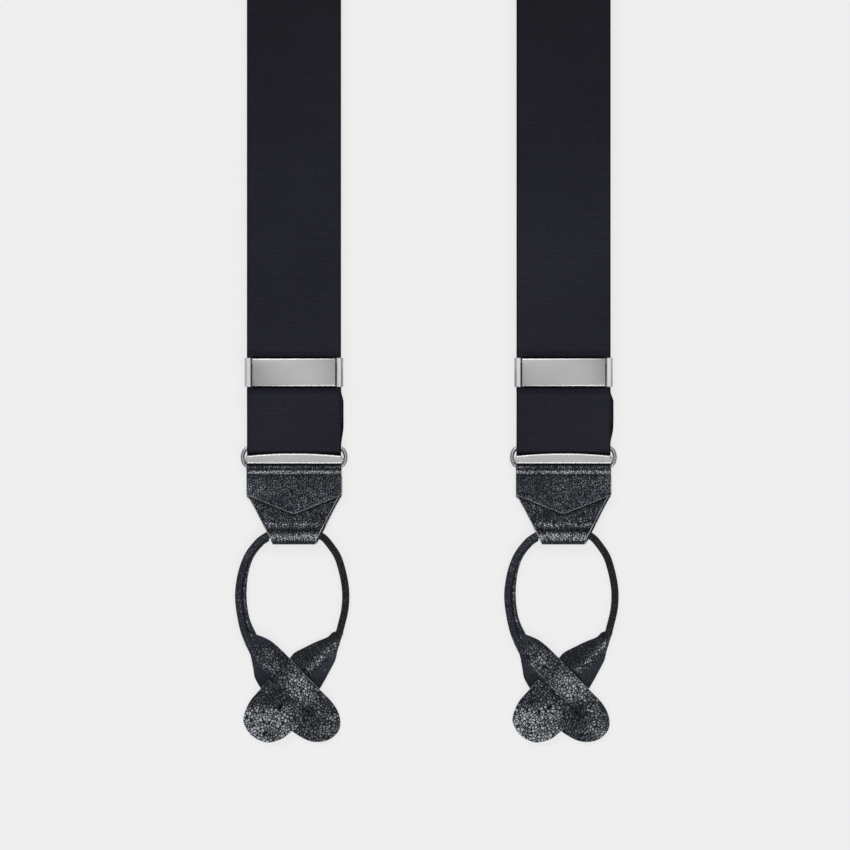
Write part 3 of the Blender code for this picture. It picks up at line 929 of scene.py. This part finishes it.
def heightB(x, v):
    p = np.column_stack([x, v])
    d = nearLine(p, crossing)
    low = loopCut["low"]
    ridge = swell(nearLine(p, ridgeB), 0, 2.6) * smooth(v, -82.5, -76.0)
    over = smooth(-d, -0.7, 0.8) * smooth(-v, 82.5, 89.5)
    lift = 1.75 * over * (1 - smooth(-d, 5.0, 13.0) * 0.85)
    lift = lift * (1 - 0.2 * smooth(-v, 103, 109))
    inner = smooth(x, -9.0, -3.0) * smooth(-v, 94, 99)
    lift = np.maximum(lift, 1.7 * inner * smooth(-d, -0.7, 0.8))
    return low + 1.25 * ridge + lift + 0.1 * np.sin(x * 0.37) * np.sin(v * 0.41 + 0.4)


def slit(a, b, wide, tip):
    # a buttonhole: a narrow cut that opens at one end
    a, b = np.array(a), np.array(b)
    d = (b - a) / np.linalg.norm(b - a)
    n = np.array((-d[1], d[0]))
    around = [a + tip * 0.5 * (-d * math.cos(t) + n * math.sin(t)) for t in np.radians([-80, -40, 0, 40, 80])]
    return np.array(around + [a + d * tip + n * wide / 2, b + n * wide / 2, b - n * wide / 2,
                              a + d * tip - n * wide / 2])


def tabSolid(name, outline, slits, height):
    def lay(x, v):
        return np.column_stack([x, v, height(x, v)]) * mm
    grid = loopCut["grid"]
    return cutSheet(name, softLoop(outline, grid), slits, grid, lay, loopCut["thick"],
                    [pebbled, burnished], 0.1)


def tube(name, path, radii, sides=14):
    p = np.array(path)
    tangent = unit(np.gradient(p, axis=0))
    sideways = unit(np.cross(tangent, (0, 0, 1)))
    up = np.cross(sideways, tangent)
    t = np.linspace(0, 2 * math.pi, sides, endpoint=False)
    rings = p[:, None, :] + radii[:, None, None] * (
        np.cos(t)[None, :, None] * sideways[:, None, :] + np.sin(t)[None, :, None] * up[:, None, :])
    return sweep(name, rings * mm, [pebbled, burnished])


def flange(name, path, inner):
    # the flat seam of the rolled leather, along the inside of the loop
    p = np.array(path)
    tangent = unit(np.gradient(p, axis=0))
    inward = unit(np.cross((0, 0, 1), tangent) * inner)
    t = np.linspace(0, 1, len(p))
    reach = 2.2 + 0.9 * (1 - smooth(t, 0.35, 0.85)) + 1.1 * (1 - smooth(t, 0.0, 0.25))
    rings = []
    for i in range(len(p)):
        base, out = p[i], inward[i]
        z, far = base[2] - 0.25, reach[i]
        section = [(0.2, 0.5), (far * 0.6, 0.5), (far - 0.2, 0.42), (far, 0.15), (far, -0.2),
                   (far - 0.2, -0.42), (far * 0.6, -0.5), (0.2, -0.5)]
        rings.append([(base[0] + out[0] * u, base[1] + out[1] * u, z + h) for u, h in section])
    return sweep(name, np.array(rings) * mm, [pebbled, burnished])


def fused(parts, name):
    # the pieces grown together under one skin
    obj = newObject(name, merged(parts, name))
    remesh = obj.modifiers.new("skin", "REMESH")
    remesh.mode = "VOXEL"
    remesh.voxel_size = loopCut["voxel"] * mm
    soft = obj.modifiers.new("soften", "SMOOTH")
    soft.factor = 0.5
    soft.iterations = 5
    return flattened(obj)


def makeLoop(end):
    route = softLine(loopLine[::-1] + loopTop + loopRight, 0.8)
    route = route[np.concatenate([[True], np.diff(runOf(route)) > 0.05])]
    run = runOf(route)
    total = run[-1]
    radii = loopCut["cord"] * (0.45 + 0.55 * smooth(run, 0, 11) * smooth(total - run, 0, 9))
    middle = np.argmin(np.abs(route[:, 0]))
    slitA = slit((-2.3, -91.2), (2.2, -94.4), 0.4, 0.8)
    slitB = slit((-5.5, -95.8), (-1.6, -91.3), 0.5, 1.4)
    partA = tabSolid("partA", tabA, [slitA], heightA)
    partB = tabSolid("partB", tabB, [slitB], heightB)
    cordA = tube("cordA", route[:middle + 1], radii[:middle + 1])
    cordB = tube("cordB", route[middle - 1:], radii[middle - 1:])
    seam = route[(run > 9) & (route[:, 0] < -10.5) & (route[:, 1] > -71)]
    skinA = fused([partA, cordA, flange("flange", seam, -1)], "skinA")
    skinB = fused([partB, cordB], "skinB")
    countA = len(skinA.data.vertices)
    mesh = merged([skinA, skinB], end + "_loop")
    obj = newObject(end + "_loop", dressed(mesh, [rolled, burnished]))
    co = vertsOf(obj)
    flat = co[:, :2]
    x, y = flat.T
    isA = np.arange(len(co)) < countA
    onTab = smooth(-y, 67, 74)
    away = nearLine(flat, route[:, :2])
    offRidge = nearLine(flat, ridgeB)
    nearSeam = (x < -7) & (y > -70)

    # where each tab turns away, and where it lies flat and shows its grain
    flankA = smooth(-nearLine(flat, foldA), -0.3, 1.1) * isA * (x < -6)
    flankB = smooth(offRidge, 1.2, 3.2) * ~isA * (x > 3)
    duskB = smooth(-offRidge, 1.2, 3.2) * ~isA * smooth(y, -82, -79) * (x > -4)
    grain = np.clip(onTab * (1 - 0.85 * flankA) * (1 - 0.8 * flankB) * (1 - 0.35 * duskB), 0.12, 1)

    # painted highlights: the raised parts of the tabs, the crest of the roll and the lip of its seam
    bright = spot(flat, 3.4, -88.0, 5.2, 4.6) * isA * 1.5
    bright += 0.55 * spot(flat, -9.5, -77.5, 3.5, 3.5) * isA
    bright += 0.42 * smooth(x, 7, 12) * smooth(-y, 93, 99) * isA
    bright += 1.5 * smooth(-x, -1, 4) * smooth(-y, 94, 98) * ~isA
    bright += 1.1 * swell(offRidge, 0, 0.9) * ~isA * smooth(y, -84, -81)
    bright += 0.55 * swell(np.abs(away), 0.45, 0.3) * (1 - onTab) + 2.4 * swell(away, -2.1, 0.35) * nearSeam

    # painted shade: under A's edge, in the hollow of A, down the flanks, in the seam and outside the roll
    edgeA = np.abs(nearLine(flat, np.array(tabA[3:9])))
    outer = smooth(np.abs(away), 0.9, 1.45) * (1 - onTab) * ~(nearSeam & (away < -1.3))
    dusk = np.max([
        0.85 * smooth(2.6 - edgeA, 0, 2.6) * ~isA * (y > -92),
        0.75 * spot(flat, 4.5, -97.5, 2.8, 3.4) * isA,
        0.8 * flankA * smooth(-y, 80, 87),
        0.6 * duskB,
        0.75 * flankB * smooth(-y, 80, 87),
        0.85 * swell(away, -1.42, 0.3) * nearSeam,
        0.55 * outer,
    ], axis=0)
    paint(obj, shine=np.clip(0.38 + bright, 0, 1.8) * (0.45 + 0.55 * onTab),
          grain=np.maximum(grain, 0.6 * (1 - onTab)), shade=1 - dusk)

    # the cut edges of the tabs are burnished
    fine = np.zeros(len(obj.data.polygons), np.int32)
    rim = np.minimum(nearLoop(flat, np.array(tabA)), nearLoop(flat, np.array(tabB)))
    for p in obj.data.polygons:
        corners = list(p.vertices)
        if flat[corners].mean(0)[1] < -68.5 and abs(p.normal.z) < 0.5 and rim[corners].min() < 0.7:
            fine[p.index] = 1
    obj.data.polygons.foreach_set("material_index", fine)
    rounded(obj.data)
    setCoords(obj, atEnd(end, co))
    put(obj, end + "_loop", [end + "_button_loop"])


# the yoke, two leaves with the strap ends between them
yoke = {"base": 235.7, "length": 72.0, "margin": 3.5, "notch": 11.0, "thick": 1.2, "grid": 0.75, "inset": 2.4}


def yokeOutline(inset=0.0):
    wide = strap["half"] + yoke["margin"]
    corner = []
    bend = bendLine(1)
    for s, w in ((0, -18 - 1.8 + 2.5), (0, wide), (yoke["length"] * 0.36, wide)):
        x, y = bend(np.array([strap["yokeAt"] + s]), np.array([w]))
        corner.append((ringX + float(x[0]), float(y[0]) - ringY - yoke["base"]))
    top = yoke["length"]
    sides = corner + [(wide + 1.5, top * 0.74), (wide, top * 0.88), (wide, top)]
    points = [(0, yoke["notch"])] + sides + [(-x, y) for x, y in reversed(sides)]
    p = np.array(points)
    made = []
    for i, here in enumerate(p):
        back, on = p[i - 1] - here, p[(i + 1) % len(p)] - here
        reach = min(7, np.linalg.norm(back) * 0.45, np.linalg.norm(on) * 0.45)
        a = here + back / np.linalg.norm(back) * reach
        b = here + on / np.linalg.norm(on) * reach
        made += [a * (1 - t) ** 2 + here * 2 * t * (1 - t) + b * t * t for t in np.linspace(0, 1, 6)]
    loop = polyLoop(made, 0.9)
    if inset:
        n = leftOf(loop)
        if not inside(loop[:1] + n[:1] * 0.5, loop)[0]:
            n = -n
        loop = loop + n * inset
    return loop


def overStraps(x, y):
    # 1 where the webbing lies between the leaves
    share = smooth(18.9 - np.abs(x), -1.2, 0.6) * smooth(y, yoke["length"] - 46, yoke["length"] - 43)
    for side in (-1, 1):
        r = strap["bendRadius"]
        dx = (x - (ringX * side - side * r)) * side
        dy = y - (strap["bendFrom"] - ringY - yoke["base"])
        w = np.abs(np.hypot(dx, dy) - r)
        s = np.arctan2(dy, dx) * r + strap["bendFrom"] - strap["yokeAt"]
        share = np.maximum(share, smooth(18.9 - w, -1.2, 0.6) * smooth(-s, -24.5, -21.5))
    return share


def makeYoke():
    loop = yokeOutline()

    def front(x, y):
        z = 1.95 + 1.65 * overStraps(x, y)
        seam = nearLoop(np.column_stack([x, y]), yokeOutline(yoke["inset"]))
        z = z - 0.18 * swell(seam, 0, 0.6)
        return np.column_stack([x, y + yoke["base"], z]) * mm

    def back(x, y):
        return np.column_stack([x, y + yoke["base"], 0.62 + 0 * x]) * mm

    for name, lay, node in (("yoke_top", front, "yoke_front_leaf"), ("yoke_under", back, "yoke_back_leaf")):
        obj = cutSheet(name, loop, [], yoke["grid"], lay, yoke["thick"], [pebbled, burnished], 0.3)
        co = vertsOf(obj)
        # painted highlight at an even level over the whole leaf
        paint(obj, shine=np.full(len(co), 0.6), grain=np.ones(len(co)), shade=np.ones(len(co)))
        put(obj, "harness", [node])
    seam = yokeOutline(yoke["inset"])
    seam = np.vstack([seam, seam[:1]])
    z = front(seam[:, 0], seam[:, 1])[:, 2] / mm + yoke["thick"] / 2 + 0.06
    top = np.column_stack([seam[:, 0], seam[:, 1] + yoke["base"], z])
    under = np.column_stack([seam[:, 0], seam[:, 1] + yoke["base"], np.full(len(seam), 0.06)])
    sewn("yoke_thread", "harness", None, [top, under])


# metal: ring, face bar and adjuster
plated = nickelFinish("satinNickel")
# the near-black of the strips that stand in for shade beside the plate
shadowStripBlack = shadowStripFinish("shadowStripBlack")
platedAcross = nickelFinish("satinNickelBar", (1.0, 16.0, 1.0))
# a lighter copy of the nickel for the frame's ears: painted light, the ears shown brighter than the plate as
# the light falls on them
platedEarPaintedLight = nickelFinish("satinNickelEarPaintedLight", (1.0, 16.0, 1.0), 1.4)
ringShape = {"straight": 17.6, "end": 2.1, "half": 3.4, "wire": 0.8}
face = {
    "half": 18.2, "low": -2.5, "high": 0.58, "arch": 0.95, "z": 4.9, "thick": 0.8, "crown": 0.22,
    "leg": (0.32, 0.55), "legHeights": (5.2, 4.6, 4.0, 3.45),
}


def makeRing(end):
    r = ringShape
    t = np.radians(np.linspace(90, -90, 22))
    right = [(r["straight"] + r["end"] * math.cos(a), r["half"] * math.sin(a), stack["rail"]) for a in t]
    loop = polyLoop([p[:2] for p in right + [(-x, -y, z) for x, y, z in right]], 1.2)
    a = np.linspace(0, 2 * math.pi, 16, endpoint=False)
    rings = [[(p[0] + q[0] * r["wire"] * math.cos(t), p[1] + q[1] * r["wire"] * math.cos(t),
               stack["rail"] + r["wire"] * math.sin(t)) for t in a] for p, q in zip(loop, leftOf(loop))]
    obj = sweep(end + "_wire_ring", ringsAt(end, rings), [plated], closed=True)
    put(obj, end + "_ring_body", [end + "_ring"])


def makeFace(end):
    # a flat bar with a crowned face and soft edges, its ends bent down to the ring
    f = face
    xs = np.concatenate([[-19.35, -19.2, -18.9, -18.4, -18.2], np.linspace(-17.6, 17.6, 45),
                         [18.2, 18.4, 18.9, 19.2, 19.35]])
    rings = []
    for x in xs:
        inner = abs(x) <= 18.25
        low = f["low"] if inner else -1.7
        high = f["high"] + f["arch"] * (1 - (x / f["half"]) ** 2) if inner else -0.15
        tip = smooth(np.array(abs(x)), 18.9, 19.35)
        low, high = low + 0.25 * tip, high - 0.25 * tip
        mid, half = (low + high) / 2, (high - low) / 2
        section = []
        for u in (-1, -0.97, -0.85, -0.5, 0, 0.5, 0.85, 0.97, 1):
            edge = 1 - abs(u) ** 10
            z = f["z"] + f["thick"] - 0.3 * (1 - edge) - f["crown"] * u * u * 0.6
            section.append((mid + u * half, z))
        for u in (1, 0.5, 0, -0.5, -1):
            section.append((mid + u * half * 0.98, f["z"] + (0.1 if abs(u) == 1 else 0)))
        drop = 0.35 * float(tip)
        rings.append([(x, v, z - drop) for v, z in section])
    bar = sweep(end + "_face_bar", ringsAt(end, rings), [platedAcross])
    legs = []
    for side in (-1, 1):
        leg = [[(side * (18.95 + f["leg"][0] * math.cos(t)), -0.95 + f["leg"][1] * math.sin(t), z)
                for t in np.linspace(0, 2 * math.pi, 12, endpoint=False)] for z in f["legHeights"]]
        legs.append(sweep("leg", ringsAt(end, leg), [platedAcross]))
    joinInto(bar, legs)
    put(bar, end + "_ring_body", [end + "_ring_face"])


def joinInto(obj, others):
    bm = bmesh.new()
    bm.from_mesh(obj.data)
    for other in others:
        bm.from_mesh(other.data)
        bpy.data.objects.remove(other, do_unlink=True)
    bm.to_mesh(obj.data)
    bm.free()
    rounded(obj.data)


adjuster = {
    "low": 26.9, "high": 37.9, "frameEdge": 0.22, "plateEdge": 0.16,
    "lip": 15.7, "teeth": 113, "bite": 0.12, "lipLow": 5.42, "gripTop": 6.3, "hingeTop": 6.2,
}


def bevelled(obj, width, segments, angle):
    bevel = obj.modifiers.new("edge", "BEVEL")
    bevel.width = width * mm
    bevel.segments = segments
    bevel.limit_method = "ANGLE"
    bevel.angle_limit = math.radians(angle)
    bevel.use_clamp_overlap = True
    rounded(flattened(obj).data)
    obj.data.set_sharp_from_angle(angle=math.radians(50))
    return obj


def copyOf(node, name, mats):
    # the CAD piece's own shape, welded so that its edges can be softened
    source = bpy.data.objects[node]
    bm = bmesh.new()
    bm.from_mesh(source.data)
    bmesh.ops.remove_doubles(bm, verts=bm.verts, dist=0.000005)
    bmesh.ops.dissolve_limit(bm, angle_limit=math.radians(2), verts=bm.verts, edges=bm.edges)
    mesh = bpy.data.meshes.new(name)
    bm.to_mesh(mesh)
    bm.free()
    return newObject(name, dressed(mesh, mats))


def makeShadowStrip(name, end, low, high, z0, z1):
    # a dark toothed strip beside the plate, standing in for painted shade: the dark contact line where the
    # plate meets the webbing
    a = adjuster
    rings = []
    for i, x in enumerate(np.linspace(-a["lip"], a["lip"], a["teeth"])):
        bite = a["bite"] if i % 4 < 2 else 0.0
        c = 0.12  # its edges are cut off this far
        rings.append([(x, low + c, z0 + bite), (x, high - c, z0 + bite), (x, high, z0 + c + bite),
                      (x, high, z1 - c), (x, high - c, z1), (x, low + c, z1), (x, low, z1 - c),
                      (x, low, z0 + c + bite)])
    return sweep(name, ringsAt(end, rings), [shadowStripBlack])


def makeAdjuster(end):
    a = adjuster
    ears = bevelled(copyOf(end + "_adjuster_frame", end + "_ear_frame", [platedEarPaintedLight]), a["frameEdge"], 3, 35)
    put(ears, end + "_adjuster", [end + "_adjuster_frame"])
    plate = bevelled(copyOf(end + "_adjuster_lever", end + "_front_plate", [plated]), a["plateEdge"], 2, 40)
    put(plate, end + "_lever", [end + "_adjuster_lever"])
    # dark strips along the plate's lower and upper edges, put there as painted shade
    for name, body, low, high, top in (
            ("_grip_shadow_strip", "_lever", a["low"] - 0.5, a["low"] + 0.3, a["gripTop"]),
            ("_hinge_shadow_strip", "_adjuster", a["high"] + 0.08, a["high"] + 0.62, a["hingeTop"])):
        lip = makeShadowStrip(end + name, end, low, high, a["lipLow"], top)
        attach(lip, end + body)
    pin = bpy.data.objects[end + "_adjuster_pin"]
    for slot in pin.material_slots:
        slot.material = plated


print("leather")
rolled = leatherFinish("rolledLeather", 1.25, 1.1, 1.12)
sewnRows = [
    stitchLine((-16.4, -6.75), (16.1, -6.75), 4.3, 30),
    stitchLine((-16.0, -7.6), (-16.0, -13.0), 4.32, 8),
    stitchLine((15.7, -7.6), (15.7, -13.0), 4.32, 8),
    stitchLine((-15.2, -13.6), (0, -19.6), 4.32, 10),
    stitchLine((14.9, -13.6), (0.9, -19.3), 4.32, 10),
    stitchLine((-10.4, taper["seam"]), (10.2, taper["seam"]), 2.82, 20),
]
for end in ends:
    makeCover(end)
    makeTaper(end)
    sewn(end + "_cover_thread", end + "_leather", end, sewnRows)
    makeLoop(end)
makeYoke()
print("metal")
for end in ends:
    makeRing(end)
    makeFace(end)
for end in ("left", "right"):
    makeAdjuster(end)

# table, light and camera
studio = {
    "floor": 0.89, "world": 0.2, "overhead": 24.0, "strip": 20.0, "middle": (-0.00144, -0.4004), "away": 2.2,
    "across": 0.3255, "film": 36,
}


def floorFinish():
    f = Finish("paleTable")
    speck = f.noise(f.place(), 9.0, 2.0)
    glow = f.nodes.new("ShaderNodeEmission")
    glow.inputs[0].default_value = (1, 1, 1, 1)
    glow.inputs[1].default_value = studio["floor"]
    both = f.nodes.new("ShaderNodeMixShader")
    both.inputs[0].default_value = 0.8
    f.set(Base_Color=f.mix(speck, (0.83,) * 3, (0.84,) * 3), Roughness=1.0, Specular_IOR_Level=0.0)
    out = f.nodes["Material Output"]
    f.links.new(f.shader.outputs[0], both.inputs[1])
    f.links.new(glow.outputs[0], both.inputs[2])
    f.links.new(both.outputs[0], out.inputs[0])
    return f.mat


print("table and light")
bm = bmesh.new()
bmesh.ops.create_grid(bm, x_segments=2, y_segments=2, size=3.0)
floorMesh = bpy.data.meshes.new("table")
bm.to_mesh(floorMesh)
bm.free()
floorMesh.materials.append(floorFinish())
floor = newObject("table", floorMesh)

world = bpy.data.worlds.new("studio")
world.use_nodes = True
world.node_tree.nodes["Background"].inputs[0].default_value = (1, 1, 1, 1)
world.node_tree.nodes["Background"].inputs[1].default_value = studio["world"]
bpy.context.scene.world = world


def softLight(name, place, aim, size, power):
    data = bpy.data.lights.new(name, "AREA")
    data.shape = "RECTANGLE"
    data.size, data.size_y = size
    data.energy = power
    obj = newObject(name, data)
    obj.location = place
    obj.rotation_euler = (Vector(aim) - Vector(place)).to_track_quat("-Z", "Y").to_euler()


cx, cy = studio["middle"]
softLight("overhead", (cx, cy, 3.0), (cx, cy, 0), (3.0, 3.0), studio["overhead"])
softLight("northStrip", (cx - 0.3, cy + 1.5, 1.5), (cx, cy, 0), (2.2, 0.4), studio["strip"])
softLight("southStrip", (cx + 0.3, cy - 1.5, 1.4), (cx, cy, 0), (2.2, 0.4), studio["strip"] * 0.8)

eye = bpy.data.cameras.new("camera")
eye.sensor_width = studio["film"]
eye.lens = studio["film"] * studio["away"] / studio["across"]  # "across" metres fill the view
eye.clip_end = 20
camera = newObject("camera", eye)
camera.location = (cx, cy, studio["away"])
bpy.context.scene.camera = camera
bpy.context.scene.view_settings.view_transform = "Standard"

bpy.context.view_layer.update()
